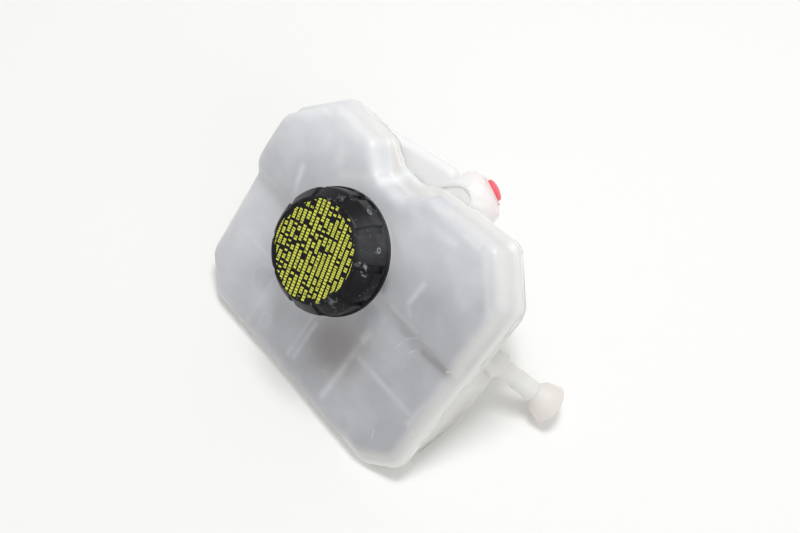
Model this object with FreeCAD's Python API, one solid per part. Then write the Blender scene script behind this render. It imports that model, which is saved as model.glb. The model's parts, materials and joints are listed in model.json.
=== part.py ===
# Brake fluid reservoir: a welded two-shell tank with a screw cap, strainer, level float and
# plug-in level sensor.
# All sizes are millimetres. The tank is drawn with the cap's axis as Z and the weld seam as
# the XY plane, and every piece is then moved once, so that the origin of the finished part is
# on the front outlet's axis at its shoulder. +Z is up as the reservoir sits in the car.

import FreeCAD
import Part
import math
import os

Vec = FreeCAD.Vector

# Plan of the weld flange, measured from the cap's axis
east_side = 73.7
west_side = 68.0
south_side = 66.5
north_side = 46.5
north_east_reach = 50.8
north_east_cut = 19.0
north_west_cut = 20.8
south_east_cut_x = 14.5
south_east_cut_y = 11.0
south_west_cut_x = 15.6
south_west_cut_y = 13.5
west_taper = 4.4
west_taper_start = 74.5
corner_round = 8.0

# Recess in the north side
recess_west = -19.0
recess_east = 14.0
recess_slope = 10.0
flange_recess_depth = 6.2
wall_recess_depth = 10.0

# Shell walls and flange
shell_wall = 2.4
flange_reach = 3.0
flange_narrow = 1.0
flange_plate = 2.2
soft_edge = 5.0

# Upper shell decks
raised_deck = 12.0
lower_deck = 6.0
ramp_head = -2.0
ramp_foot = -9.0
ramp_round = 8.0
rib_wall = 1.4
rib_drop = 6.0

# Ribs that carry on as partitions in the lower shell, then ribs of the upper shell alone, each
# from one plan point to another
partition_lines = [((26.5, -63.0), (26.5, -25.0)),
                   ((1.8, -63.0), (1.8, -34.0)),
                   ((26.5, -34.0), (70.0, -34.0))]
upper_rib_lines = [((32.0, 0.0), (46.0, 0.0)),
                   ((37.5, 6.0), (37.5, 14.0)),
                   ((-40.0, -2.0), (-40.0, 12.0)),
                   ((-49.0, -2.0), (-40.0, -2.0))]
u_rib_centre = (-32.0, -42.5)
u_rib_radius = 5.0
u_rib_leg = 5.0

# Lower shell
lower_inset = 0.4
tank_floor = 34.0
belly_wall_drop = 3.0
belly_knee_run = 10.0
belly_knee_drop = 13.5
belly_foot_run = 29.0
belly_foot_drop = 28.5
belly_floor_run = 40.0
belly_round = 12.0
belly_edge = 7.0
west_wall_tilt = 6.0
north_wall_drop = 3.0
north_wall_tilt = 18.0
north_east_tilt = 23.5
hip_drop = 12.5
hip_tilt = 25.0
hip_start_x = 69.7
hip_start_y = -11.0
hip_turn = 30.0
partition_wall = 1.8
partition_gap = 0.4

# Bulge in the lower shell's north wall
bulge_west = -33.0
bulge_length = 44.0
bulge_turn = 11.0
bulge_reach = 44.8
bulge_top = 4.0
bulge_face = 5.0
bulge_height = 17.0
bulge_taper = 7.0
bulge_round = 3.5

# Filler neck and its ledge
neck_radius = 21.0
neck_wall = 2.6
neck_bore = neck_radius - neck_wall
neck_top = 30.6
ledge_reach = 1.8
ledge_bore = neck_bore - ledge_reach
ledge_height = 17.0
neck_lip = 0.6

# Filler cap
cap_base = 20.0
cap_height = 16.0
cap_rim_height = 2.0
cap_shoulder_height = 9.8
cap_top_margin = 0.3
cap_edge_drop = 0.4
cap_top_wall = 2.4
cap_thread_clearance = 1.6
cap_wall = 4.4
cap_rim_step = 0.6
cap_rim_radius = neck_radius + cap_thread_clearance + cap_wall
cap_lobe_radius = cap_rim_radius - cap_rim_step
cap_thread_height = 10.0
cap_seat_clearance = 0.5
cap_lobes = 10
cap_lobe_phase = 24.0
cap_groove_half_angle = 4.0
cap_groove_depth = 1.3
cap_groove_top = 0.8
cap_groove_shoulder = 0.6

# Diaphragm seal and its retainer
seal_thickness = 1.6
seal_wall = 1.0
seal_bellows_gap = 0.8
seal_bellows_radius = neck_bore - seal_bellows_gap
seal_bellows_drop = 7.6
seal_clearance = 0.3
retainer_skirt_wall = 2.0
retainer_skirt_drop = 5.2

# Strainer
strainer_clearance = 0.3
strainer_rim = 1.8
strainer_ledge_gap = 0.4
strainer_radius = ledge_bore - strainer_ledge_gap
strainer_frame_wall = 1.1
strainer_mesh_wall = 0.4
strainer_bottom = 20.0
strainer_bar = 2.6
strainer_bars = 4
strainer_hoops = 2

# Float, its well and guide post
float_x = -47.0
float_y = 11.0
float_radius = 11.2
float_height = 13.0
float_clearance = 0.5
float_rest_gap = 0.3
post_radius = 2.8
post_gap = 1.0
well_clearance = 1.0
well_wall = 1.6
well_slot = 6.0
magnet_radius = 6.4
magnet_height = 4.0

# Outlet spigots and the retaining lug between them
front_outlet_x = 28.0
rear_outlet_x = -32.0
outlet_y = 0.0
outlet_radius = 8.5
outlet_bore = 4.5
outlet_tip = 57.0
outlet_shoulder = 37.0
outlet_shoulder_radius = 11.5
outlet_chamfer = 2.0
lug_width = 14.0
lug_thickness = 6.0
lug_bottom = 52.0
lug_hole_radius = 3.2
lug_hole_drop = 45.5

# Side hose nozzle with its closed bell end
nozzle_root_x = 66.0
nozzle_root_y = -2.85
nozzle_root_drop = 27.3
nozzle_turn = -11.5
nozzle_dip = 43.7
nozzle_bed = 5.0
nozzle_hole_bed = 9.0
nozzle_length = 34.3
nozzle_radius = 4.3
nozzle_bore = 2.1
nozzle_root_radius = 6.2
nozzle_root_length = 5.0
nozzle_root_taper = 1.5
nozzle_collar_radius = 4.6
nozzle_collar_place = 12.9
nozzle_collar_step = 0.5
nozzle_bell_length = 10.3
nozzle_bell_neck = 4.1
nozzle_flare_length = 3.5
nozzle_flare_radius = 7.3
nozzle_bell_radius = 8.9
nozzle_bell_edge = 0.9

# Round port boss with its plug
port_end_x = 23.8
port_end_y = 54.0
port_end_drop = 14.5
port_turn = 70.8
port_dip = 24.2
port_length = 26.0
port_radius = 12.0
port_round = 5.0
port_wall = 2.6
port_end_wall = 6.0
port_bore = 3.4
plug_head_radius = 4.8
plug_head_height = 2.6
plug_lip = 0.8
plug_stem_length = 7.0
port_seat_radius = 6.6
port_seat_height = 0.8

# Level sensor in its pocket under the float
pocket_drop = 35.5
pocket_radius = 5.0
pocket_bore = 3.6
pocket_end = -42.5
pocket_mouth = -65.0
probe_clearance = 0.15
probe_end_gap = 0.5
probe_bore = 2.1
probe_tip_wall = 1.5
seal_groove_width = 2.0
seal_groove_depth = 0.9
seal_groove_place = 5.0
shroud_length = 9.5
shroud_width = 14.0
shroud_height = 13.0
shroud_wall = 1.4
shroud_back = 2.5
shroud_round = 2.0
latch_width = 5.0
latch_height = 1.4
latch_length = 3.0
terminal_width = 2.8
terminal_thickness = 0.8
terminal_pitch = 6.0
terminal_length = 7.0
terminal_tail = 1.6
terminal_tail_inset = 1.4
terminal_root = 0.8
reed_radius = 1.1
reed_length = 10.0
reed_offset = 0.6
lead_width = 0.5
lead_offset = 1.4
lead_return = 1.5

# The finished part's origin, in the tank's own drawing frame
origin = Vec(front_outlet_x, outlet_y, -outlet_shoulder)


# Moves the sides of a closed outline inwards, each by its own distance, in the order of the
# points that the sides start from
def inset_sides(points, distances):
    moved = []
    count = len(points)
    for i in range(count):
        before = points[i - 1]
        here = points[i]
        after = points[(i + 1) % count]
        in_x = here[0] - before[0]
        in_y = here[1] - before[1]
        out_x = after[0] - here[0]
        out_y = after[1] - here[1]
        in_length = math.hypot(in_x, in_y)
        out_length = math.hypot(out_x, out_y)
        normal_in = (-in_y / in_length, in_x / in_length)
        normal_out = (-out_y / out_length, out_x / out_length)
        cosine = normal_in[0] * normal_out[0] + normal_in[1] * normal_out[1]
        share_in = (distances[i - 1] - cosine * distances[i]) / (1 - cosine ** 2)
        share_out = (distances[i] - cosine * distances[i - 1]) / (1 - cosine ** 2)
        moved.append((here[0] + share_in * normal_in[0] + share_out * normal_out[0],
                      here[1] + share_in * normal_in[1] + share_out * normal_out[1]))
    return moved


# Moves all sides of a closed outline inwards by one distance
def inset(points, distance):
    return inset_sides(points, [distance] * len(points))


# Closed wire through an outline with each corner rounded; place turns (u, v) into a point
def rounded_wire(points, radius, place):
    count = len(points)
    starts = []
    ends = []
    middles = []
    for i in range(count):
        before = points[i - 1]
        here = points[i]
        after = points[(i + 1) % count]
        in_length = math.hypot(here[0] - before[0], here[1] - before[1])
        out_length = math.hypot(after[0] - here[0], after[1] - here[1])
        in_way = ((here[0] - before[0]) / in_length, (here[1] - before[1]) / in_length)
        out_way = ((after[0] - here[0]) / out_length, (after[1] - here[1]) / out_length)
        cosine = in_way[0] * out_way[0] + in_way[1] * out_way[1]
        half_turn = math.acos(max(-1.0, min(1.0, cosine))) / 2
        reach = min(radius * math.tan(half_turn), 0.45 * in_length, 0.45 * out_length)
        arc_radius = reach / math.tan(half_turn)
        starts.append((here[0] - reach * in_way[0], here[1] - reach * in_way[1]))
        ends.append((here[0] + reach * out_way[0], here[1] + reach * out_way[1]))
        bisector = (out_way[0] - in_way[0], out_way[1] - in_way[1])
        size = math.hypot(bisector[0], bisector[1])
        depth = arc_radius / math.cos(half_turn) - arc_radius
        middles.append((here[0] + depth * bisector[0] / size, here[1] + depth * bisector[1] / size))
    edges = []
    for i in range(count):
        start = place(*starts[i])
        end = place(*ends[i])
        next_start = place(*starts[(i + 1) % count])
        edges.append(Part.Arc(start, place(*middles[i]), end).toShape())
        if end.distanceToPoint(next_start) > 0.001:
            edges.append(Part.LineSegment(end, next_start).toShape())
    return Part.Wire(edges)


# Upright prism of a rounded outline between two heights
def slab(points, radius, low, high):
    wire = rounded_wire(points, radius, lambda x, y: Vec(x, y, low))
    return Part.Face(wire).extrude(Vec(0, 0, high - low))


# Body of revolution round Z from a closed (radius, height) outline
def turned(profile):
    corners = [Vec(r, 0, z) for r, z in profile]
    face = Part.Face(Part.makePolygon(corners + corners[:1]))
    return face.revolve(Vec(0, 0, 0), Vec(0, 0, 1), 360)


# Moves a piece drawn along +Z so that its Z axis lies along a direction from a point
def aimed(shape, point, direction):
    turn = FreeCAD.Rotation(Vec(0, 0, 1), direction)
    moved = shape.copy()
    moved.Placement = FreeCAD.Placement(point, turn)
    return moved


# Direction that faces a plan angle and dips below level
def dipped(plan_angle, dip):
    turn = math.radians(plan_angle)
    fall = math.radians(dip)
    return Vec(math.cos(turn) * math.cos(fall), math.sin(turn) * math.cos(fall), -math.sin(fall))


# Lays a piece drawn along +Z on the nozzle's axis, with its zero at the root
def at_nozzle(shape):
    root = Vec(nozzle_root_x, nozzle_root_y, -nozzle_root_drop)
    return aimed(shape, root, dipped(nozzle_turn, nozzle_dip))


# Lays a piece drawn along +Z on the port boss's axis, with its zero at the boss's end
def at_port(shape):
    end = Vec(port_end_x, port_end_y, -port_end_drop)
    return aimed(shape, end, dipped(port_turn, port_dip))


# Box from two opposite corners
def block(x0, x1, y0, y1, z0, z1):
    return Part.makeBox(x1 - x0, y1 - y0, z1 - z0, Vec(x0, y0, z0))


def cylinder(radius, low, high, x=0.0, y=0.0):
    return Part.makeCylinder(radius, high - low, Vec(x, y, low))


# Corners of the tank's plan, anticlockwise from the south-west, for a recess depth
def plan_corners(recess_depth):
    slant_x = east_side - north_east_cut
    slant = (north_east_reach - north_side) / (slant_x - recess_east)
    recess_start = north_side - slant * recess_slope / 4
    return [(south_west_cut_x - west_side + west_taper, -south_side),
            (east_side - south_east_cut_x, -south_side),
            (east_side, south_east_cut_y - south_side),
            (east_side, north_east_reach - north_east_cut),
            (slant_x, north_east_reach),
            (recess_east, recess_start),
            (recess_east - recess_slope, north_side - recess_depth),
            (recess_west + recess_slope, north_side - recess_depth),
            (recess_west, north_side),
            (north_west_cut - west_side, north_side),
            (-west_side, north_side - north_west_cut),
            (-west_side, west_taper_start - south_side),
            (west_taper - west_side, south_west_cut_y - south_side)]


# Outline of the weld flange
def flange_plan():
    return plan_corners(flange_recess_depth)


# Outline of a wall inside the flange, drawn inwards by shrink: the flange reaches far past the
# wall all round but on the south side, the west side and the corner between them
def wall_plan(recess_depth, shrink):
    corners = plan_corners(recess_depth)
    reach = [flange_reach] * len(corners)
    reach[0] = flange_narrow
    reach[-3:] = [flange_narrow] * 3
    return inset_sides(corners, [each + shrink for each in reach])


# Edges that lie above a height and don't touch it
def edges_above(shape, height):
    return [edge for edge in shape.Edges if edge.BoundBox.ZMin > height]


# Solid of the upper half, drawn inwards by shrink, with two decks joined by a ramp. Its edges are
# round outside and bevelled inside, with the wall as thick there as elsewhere.
def upper_form(shrink, base):
    outline = wall_plan(wall_recess_depth, shrink)
    form = slab(outline, corner_round - flange_reach - shrink, base, raised_deck - shrink)
    ramp_angle = math.atan2(raised_deck - lower_deck, ramp_head - ramp_foot)
    shift = shrink * math.tan(ramp_angle / 2)
    low = lower_deck - shrink
    high = raised_deck - shrink
    over = 2 * raised_deck
    profile = [(-2 * south_side, low),
               (ramp_foot + shift, low),
               (ramp_head + shift, high),
               (2 * north_side, high),
               (2 * north_side, over),
               (-2 * south_side, over)]
    side = -2 * west_side
    wire = rounded_wire(profile, ramp_round, lambda y, z: Vec(side, y, z))
    above = Part.Face(wire).extrude(Vec(2 * (east_side + west_side), 0, 0))
    form = form.cut(above)
    edges = edges_above(form, base + 0.1 * lower_deck)
    if shrink > 0:
        return form.makeChamfer((2 - math.sqrt(2)) * (soft_edge - shrink), edges)
    return form.makeFillet(soft_edge, edges)


# One straight rib between two plan points
def rib(start, end, thickness, low, high):
    length = math.hypot(end[0] - start[0], end[1] - start[1])
    wall = block(0, length, -thickness / 2, thickness / 2, low, high)
    angle = math.degrees(math.atan2(end[1] - start[1], end[0] - start[0]))
    turn = FreeCAD.Rotation(Vec(0, 0, 1), angle)
    wall.Placement = FreeCAD.Placement(Vec(start[0], start[1], 0), turn)
    return wall


# U-shaped guide rib, open to the north
def u_rib(low, high):
    x, y = u_rib_centre
    outer = u_rib_radius + rib_wall / 2
    inner = u_rib_radius - rib_wall / 2
    ring = cylinder(outer, low, high, x, y).cut(cylinder(inner, low, high, x, y))
    bend = ring.common(block(x - outer, x + outer, y - outer, y, low, high))
    legs = [rib((x + side * u_rib_radius, y), (x + side * u_rib_radius, y + u_rib_leg),
                rib_wall, low, high) for side in (-1, 1)]
    return bend.fuse(legs)


def upper_shell():
    outside = upper_form(0, 0)
    flange = slab(flange_plan(), corner_round, 0, flange_plate)
    neck = cylinder(neck_radius, lower_deck - shell_wall, neck_top)
    neck = neck.makeChamfer(neck_lip, [edge for edge in neck.Edges if edge.BoundBox.ZMin > neck_top - 1])
    body = outside.fuse([flange, neck])
    hollow = upper_form(shell_wall, -1.0)
    ribs = [rib(a, b, rib_wall, -rib_drop, raised_deck) for a, b in partition_lines + upper_rib_lines]
    ribs.append(u_rib(-rib_drop, raised_deck))
    reach = block(-2 * west_side, 2 * east_side, -2 * south_side, 2 * north_side, -rib_drop, 0.0)
    below = lower_form(shell_wall + partition_gap, 1.0).common(reach)
    ribs = ribs[0].fuse(ribs[1:]).common(outside.fuse(below))
    body = body.cut(hollow).fuse(ribs)
    body = body.cut(cylinder(ledge_bore, -rib_drop, neck_top))
    return body.cut(cylinder(neck_bore, ledge_height, neck_top)).removeSplitter()


# Everything on the outer side of a plane, moved inwards by shrink
def beyond(point, normal, shrink):
    size = 2 * (east_side + west_side)
    outward = Vec(normal).normalize()
    start = point - outward * shrink
    return aimed(block(-size, size, -size, size, 0, size), start, outward)


# Undercut corners of the lower half: the sloped north-east side and the hip behind the nozzle
def lower_undercuts(shrink):
    reach = flange_reach + lower_inset
    corner = Vec(east_side - north_east_cut / 2, north_east_reach - north_east_cut / 2,
                 -belly_wall_drop)
    corner = corner - dipped(45, 0) * reach
    side = Vec(east_side - reach, 0, -hip_drop)
    start = Vec(hip_start_x, hip_start_y, 0)
    hip = beyond(side, dipped(0, hip_tilt), shrink).common(beyond(start, dipped(hip_turn, 0), shrink))
    return [beyond(corner, dipped(45, north_east_tilt), shrink), hip]


# Solid of the lower half, drawn inwards by shrink: the plan prism met by the belly's profile
def lower_form(shrink, top):
    reach = flange_reach + lower_inset
    west_reach = flange_narrow + lower_inset
    outline = wall_plan(flange_recess_depth, lower_inset + shrink)
    prism = slab(outline, corner_round - reach - shrink, -tank_floor - 1, top)
    south = -south_side + reach
    north = north_east_reach - reach
    high = top + raised_deck
    north_foot = north - (tank_floor - north_wall_drop) * math.tan(math.radians(north_wall_tilt))
    profile = [(north, high),
               (south, high),
               (south, -belly_wall_drop),
               (south + belly_knee_run, -belly_knee_drop),
               (south + belly_foot_run, -belly_foot_drop),
               (south + belly_floor_run, -tank_floor),
               (north_foot, -tank_floor),
               (north, -north_wall_drop)]
    wire = rounded_wire(inset(profile, shrink), belly_round - shrink, lambda y, z: Vec(-2 * west_side, y, z))
    belly = Part.Face(wire).extrude(Vec(2 * (east_side + west_side), 0, 0))
    west_foot = west_side - west_reach - tank_floor * math.tan(math.radians(west_wall_tilt))
    ends = [(-west_foot, -tank_floor),
            (east_side - reach, -tank_floor),
            (east_side - reach, high),
            (-west_side + west_reach, high),
            (-west_side + west_reach, 0)]
    wire = rounded_wire(inset(ends, shrink), belly_edge - shrink, lambda x, z: Vec(x, -2 * south_side, z))
    sides = Part.Face(wire).extrude(Vec(0, 2 * (south_side + north_side), 0))
    return prism.common([belly]).common([sides]).cut(lower_undercuts(shrink))


# Bulge in the north wall that swells towards the port boss, drawn inwards by shrink
def north_bulge(shrink):
    depth = bulge_reach / 3
    top = -bulge_top - shrink
    section = [(-depth, top),
               (-shrink, top),
               (-shrink, -bulge_top - bulge_face),
               (-bulge_taper - shrink, -bulge_top - bulge_height + shrink),
               (-depth, -bulge_top - bulge_height + shrink)]
    corners = [Vec(shrink, y, z) for y, z in section]
    form = Part.Face(Part.makePolygon(corners + corners[:1])).extrude(Vec(bulge_length - 2 * shrink, 0, 0))
    outer = [edge for edge in form.Edges if edge.BoundBox.YMax > -shrink - 0.1]
    if shrink > 0:
        form = form.makeChamfer((2 - math.sqrt(2)) * (bulge_round - shrink), outer)
    else:
        form = form.makeFillet(bulge_round, outer)
    form.Placement = FreeCAD.Placement(Vec(bulge_west, bulge_reach, 0),
                                       FreeCAD.Rotation(Vec(0, 0, 1), bulge_turn))
    return form


# Round port boss, drawn along +Z with its end face at zero and then aimed
def port_boss(shrink, end_wall):
    radius = port_radius - shrink
    soft = port_round - shrink
    bend = (1 - math.sqrt(0.5)) * soft
    profile = [(0, -port_length),
               (radius, -port_length),
               (radius, -end_wall - soft),
               (radius - bend, -end_wall - bend),
               (radius - soft, -end_wall),
               (0, -end_wall)]
    return at_port(turned(profile))


def outlet(x):
    tip = -outlet_tip
    tube = cylinder(outlet_radius, tip, -tank_floor + shell_wall, x, outlet_y)
    ends = [edge for edge in tube.Edges if edge.BoundBox.ZMax < tip + 0.1]
    tube = tube.makeChamfer(outlet_chamfer, ends)
    shoulder = cylinder(outlet_shoulder_radius, -outlet_shoulder, -tank_floor + shell_wall, x, outlet_y)
    return tube.fuse(shoulder)


def retaining_lug():
    centre = (front_outlet_x + rear_outlet_x) / 2
    lug = block(centre - lug_width / 2, centre + lug_width / 2, outlet_y - lug_thickness / 2,
                outlet_y + lug_thickness / 2, -lug_bottom, -tank_floor + shell_wall / 2)
    corners = [edge for edge in lug.Edges
               if edge.BoundBox.ZMax < -lug_bottom + 0.1 and edge.BoundBox.YLength > lug_thickness / 2]
    lug = lug.makeFillet(lug_width / 3, corners)
    hole = Part.makeCylinder(lug_hole_radius, 2 * lug_thickness,
                             Vec(centre, outlet_y - lug_thickness, -lug_hole_drop), Vec(0, 1, 0))
    return lug.cut(hole)


# Hose nozzle as one turned form from its root in the wall to the flat bell end
def nozzle():
    bell = nozzle_length - nozzle_bell_length
    profile = [(0, -nozzle_bed),
               (nozzle_root_radius, -nozzle_bed),
               (nozzle_root_radius, nozzle_root_length - nozzle_root_taper),
               (nozzle_radius, nozzle_root_length),
               (nozzle_radius, nozzle_collar_place),
               (nozzle_collar_radius, nozzle_collar_place + nozzle_collar_step),
               (nozzle_collar_radius, bell - nozzle_root_taper),
               (nozzle_bell_neck, bell),
               (nozzle_flare_radius, bell + nozzle_flare_length),
               (nozzle_bell_radius, nozzle_length - nozzle_bell_edge),
               (nozzle_bell_radius - nozzle_bell_edge, nozzle_length),
               (0, nozzle_length)]
    return at_nozzle(turned(profile))


# Tube under the float that takes the level sensor's probe
def sensor_pocket():
    axis_start = Vec(pocket_mouth, float_y, -pocket_drop)
    return Part.makeCylinder(pocket_radius, pocket_end - pocket_mouth, axis_start, Vec(1, 0, 0))


def pocket_hole():
    axis_start = Vec(pocket_mouth - 1, float_y, -pocket_drop)
    length = pocket_end - shell_wall - pocket_mouth + 1
    return Part.makeCylinder(pocket_bore, length, axis_start, Vec(1, 0, 0))


# Slotted well wall and guide post of the float
def float_well():
    inner = float_radius + well_clearance
    outer = inner + well_wall
    base = -tank_floor + shell_wall / 2
    top = -rib_drop - partition_gap
    well = cylinder(outer, base, top, float_x, float_y)
    well = well.cut(cylinder(inner, base, top, float_x, float_y))
    slot = block(float_x - outer - 1, float_x + outer + 1, float_y - well_slot / 2,
                 float_y + well_slot / 2, base + 2 * shell_wall, top)
    post = cylinder(post_radius, base, -rib_drop - post_gap, float_x, float_y)
    return well.cut(slot).fuse(post)


def lower_shell():
    flange = slab(flange_plan(), corner_round, -flange_plate, 0)
    outside = lower_form(0, 0)
    hollow = lower_form(shell_wall, 1.0)
    hollow = hollow.fuse([north_bulge(shell_wall), port_boss(port_wall, port_end_wall)])
    partitions = [rib(a, b, partition_wall, -tank_floor, -rib_drop - partition_gap)
                  for a, b in partition_lines]
    partitions = partitions[0].fuse(partitions[1:]).common(outside)
    seat = at_port(cylinder(port_seat_radius, -port_end_wall, port_seat_height))
    body = outside.fuse([flange, north_bulge(0), port_boss(0, 0), seat, sensor_pocket(), nozzle()])
    above_seam = block(-2 * west_side, 2 * east_side, -2 * south_side, 2 * north_side, 0, port_length)
    body = body.cut([hollow, above_seam])
    lower = [outlet(front_outlet_x), outlet(rear_outlet_x), retaining_lug()]
    body = body.fuse(lower + [partitions, float_well()])
    bores = [cylinder(outlet_bore, -outlet_tip - 1, -tank_floor + 2 * shell_wall, x, outlet_y)
             for x in (front_outlet_x, rear_outlet_x)]
    port_hole = at_port(cylinder(port_bore, -port_length, port_seat_height + 1))
    nozzle_hole = at_nozzle(cylinder(nozzle_bore, -nozzle_hole_bed, nozzle_length - nozzle_bell_length))
    return body.cut(bores + [port_hole, nozzle_hole, pocket_hole()]).removeSplitter()


# Cap with a rim ring, grooved lobes and a bevelled flat top, hollow for the neck
def filler_cap():
    base = cap_base
    shoulder = base + cap_shoulder_height
    top = base + cap_height
    bore = neck_radius + cap_thread_clearance
    cap_top_radius = neck_radius + cap_seat_clearance + cap_top_margin
    profile = [(0, top),
               (0, base),
               (cap_rim_radius, base),
               (cap_rim_radius, base + cap_rim_height),
               (cap_lobe_radius, base + cap_rim_height),
               (cap_lobe_radius, shoulder),
               (cap_top_radius, top - cap_edge_drop),
               (cap_top_radius - cap_edge_drop, top)]
    body = turned(profile)
    groove_top = top - cap_groove_top
    groove_outline = [(cap_lobe_radius - cap_groove_depth, base + cap_rim_height),
                      (cap_lobe_radius + cap_groove_depth, base + cap_rim_height),
                      (cap_lobe_radius + cap_groove_depth, groove_top),
                      (cap_top_radius - cap_groove_depth / 2, groove_top),
                      (cap_lobe_radius - cap_groove_depth, shoulder - cap_groove_shoulder)]
    corners = [Vec(r, 0, z) for r, z in groove_outline]
    face = Part.Face(Part.makePolygon(corners + corners[:1]))
    grooves = []
    for i in range(cap_lobes):
        start = cap_lobe_phase + 360.0 * i / cap_lobes - cap_groove_half_angle
        turned_face = face.copy()
        turned_face.rotate(Vec(0, 0, 0), Vec(0, 0, 1), start)
        grooves.append(turned_face.revolve(Vec(0, 0, 0), Vec(0, 0, 1), 2 * cap_groove_half_angle))
    thread_room = cylinder(bore, base, base + cap_thread_height)
    seat_room = cylinder(neck_radius + cap_seat_clearance, base, top - cap_top_wall)
    return body.cut(grooves + [thread_room, seat_room])


# Heights shared by the seal, its retainer and the cap's inner face
seal_low = neck_top
seal_high = seal_low + seal_thickness


# Rubber seal ring with a cup-shaped diaphragm that hangs in the neck
def cap_seal():
    outer = neck_radius + cap_seat_clearance - seal_clearance
    bellows = seal_bellows_radius
    bottom = seal_low - seal_bellows_drop
    profile = [(0, bottom),
               (bellows, bottom),
               (bellows, seal_low),
               (outer, seal_low),
               (outer, seal_high),
               (bellows - seal_wall, seal_high),
               (bellows - seal_wall, bottom + seal_wall),
               (0, bottom + seal_wall)]
    return turned(profile)


# Ring plate between the seal and the cap, with a skirt that keeps the bellows open
def seal_retainer():
    outer = neck_radius + cap_seat_clearance - seal_clearance
    skirt = seal_bellows_radius - seal_wall - seal_clearance
    top = cap_base + cap_height - cap_top_wall - seal_clearance
    profile = [(skirt - retainer_skirt_wall, top),
               (skirt - retainer_skirt_wall, seal_high - retainer_skirt_drop),
               (skirt, seal_high - retainer_skirt_drop),
               (skirt, seal_high),
               (outer, seal_high),
               (outer, top)]
    return turned(profile)


# Frame of the strainer: a rim on the neck's ledge, upright bars, hoops and a closed foot
def strainer_basket():
    rim_outer = neck_bore - strainer_clearance
    inner = strainer_radius - strainer_frame_wall
    rim = cylinder(rim_outer, ledge_height, ledge_height + strainer_rim)
    drum = cylinder(strainer_radius, -strainer_bottom, ledge_height)
    frame = rim.fuse(drum).cut(cylinder(inner, -strainer_bottom + strainer_frame_wall,
                                        ledge_height + strainer_rim))
    span = (ledge_height + strainer_bottom) / strainer_hoops
    windows = []
    arc = 360.0 / strainer_bars
    bar_angle = math.degrees(strainer_bar / strainer_radius)
    for row in range(strainer_hoops):
        low = -strainer_bottom + strainer_bar / 2 + row * span
        high = -strainer_bottom + (row + 1) * span - strainer_bar / 2
        corners = [Vec(inner - 1, 0, low), Vec(strainer_radius + 1, 0, low),
                   Vec(strainer_radius + 1, 0, high), Vec(inner - 1, 0, high)]
        face = Part.Face(Part.makePolygon(corners + corners[:1]))
        for i in range(strainer_bars):
            window_face = face.copy()
            window_face.rotate(Vec(0, 0, 0), Vec(0, 0, 1), i * arc + bar_angle / 2)
            windows.append(window_face.revolve(Vec(0, 0, 0), Vec(0, 0, 1), arc - bar_angle))
    return frame.cut(windows)


# Mesh sleeve inside the frame, open above
def strainer_mesh():
    outer = strainer_radius - strainer_frame_wall
    inner = outer - strainer_mesh_wall
    low = -strainer_bottom + strainer_frame_wall
    return cylinder(outer, low, ledge_height).cut(cylinder(inner, low, ledge_height))


# Height of the float's underside when it rests in an empty tank
float_low = pocket_radius - pocket_drop + float_rest_gap


def level_float():
    hole = post_radius + float_clearance
    ring = cylinder(float_radius, float_low, float_low + float_height, float_x, float_y)
    seat = cylinder(magnet_radius, float_low, float_low + magnet_height, float_x, float_y)
    return ring.cut([cylinder(hole, float_low, float_low + float_height, float_x, float_y), seat])


def float_magnet():
    hole = post_radius + float_clearance
    ring = cylinder(magnet_radius, float_low, float_low + magnet_height, float_x, float_y)
    return ring.cut(cylinder(hole, float_low, float_low + magnet_height, float_x, float_y))


# Domed plug with a stem in the port's bore and a lip behind the wall
def port_plug():
    seat = port_seat_height
    profile = [(0, seat - plug_stem_length),
               (port_bore, seat - plug_stem_length),
               (port_bore, seat),
               (plug_head_radius, seat),
               (plug_head_radius, seat + plug_lip),
               (0.86 * plug_head_radius, seat + 0.62 * plug_head_height),
               (0.5 * plug_head_radius, seat + 0.92 * plug_head_height),
               (0, seat + plug_head_height)]
    return at_port(turned(profile))


# The sensor is drawn along +Z from its probe's tip and laid in the pocket pointing west
sensor_tip = pocket_end - shell_wall - probe_end_gap
probe_length = sensor_tip - pocket_mouth
probe_radius = pocket_bore - probe_clearance
reed_start = probe_tip_wall + lead_return + lead_width


def laid_in_pocket(shape):
    return aimed(shape, Vec(sensor_tip, float_y, -pocket_drop), Vec(-1, 0, 0))


def sensor_body():
    probe = cylinder(probe_radius, 0, probe_length)
    groove_low = probe_length - seal_groove_place - seal_groove_width
    groove = cylinder(probe_radius + 1, groove_low, groove_low + seal_groove_width)
    groove = groove.cut(cylinder(probe_radius - seal_groove_depth, groove_low,
                                 groove_low + seal_groove_width))
    half_w = shroud_width / 2
    half_h = shroud_height / 2
    total = probe_length + shroud_back + shroud_length
    shroud = block(-half_h, half_h, -half_w, half_w, probe_length, total)
    uprights = [edge for edge in shroud.Edges if edge.BoundBox.ZLength > shroud_length]
    shroud = shroud.makeFillet(shroud_round, uprights)
    socket = block(shroud_wall - half_h, half_h - shroud_wall, shroud_wall - half_w,
                   half_w - shroud_wall, probe_length + shroud_back, total)
    latch = block(half_h - shroud_wall / 2, half_h + latch_height, -latch_width / 2, latch_width / 2,
                  total - 2 * latch_length, total - latch_length)
    core = cylinder(probe_bore, probe_tip_wall, probe_length + terminal_tail / 2)
    body = probe.fuse([shroud, latch]).cut([groove, socket, core])
    slots = [terminal_blade(side) for side in (-1, 1)]
    return laid_in_pocket(body.cut(slots))


# Flat blade through the shroud's back wall, with a tail in the probe's core
def terminal_blade(side):
    centre = side * terminal_pitch / 2
    low = probe_length + terminal_tail / 2
    back = low + terminal_tail
    high = probe_length + shroud_back + terminal_length
    thin = terminal_thickness / 2
    tail_inner = side * (probe_bore - terminal_tail_inset)
    blade = block(-thin, thin, centre - terminal_width / 2, centre + terminal_width / 2,
                  back - terminal_root, high)
    reach = sorted([tail_inner, centre])
    tail = block(-thin, thin, reach[0], reach[1], low, back)
    return blade.fuse(tail).removeSplitter()


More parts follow.
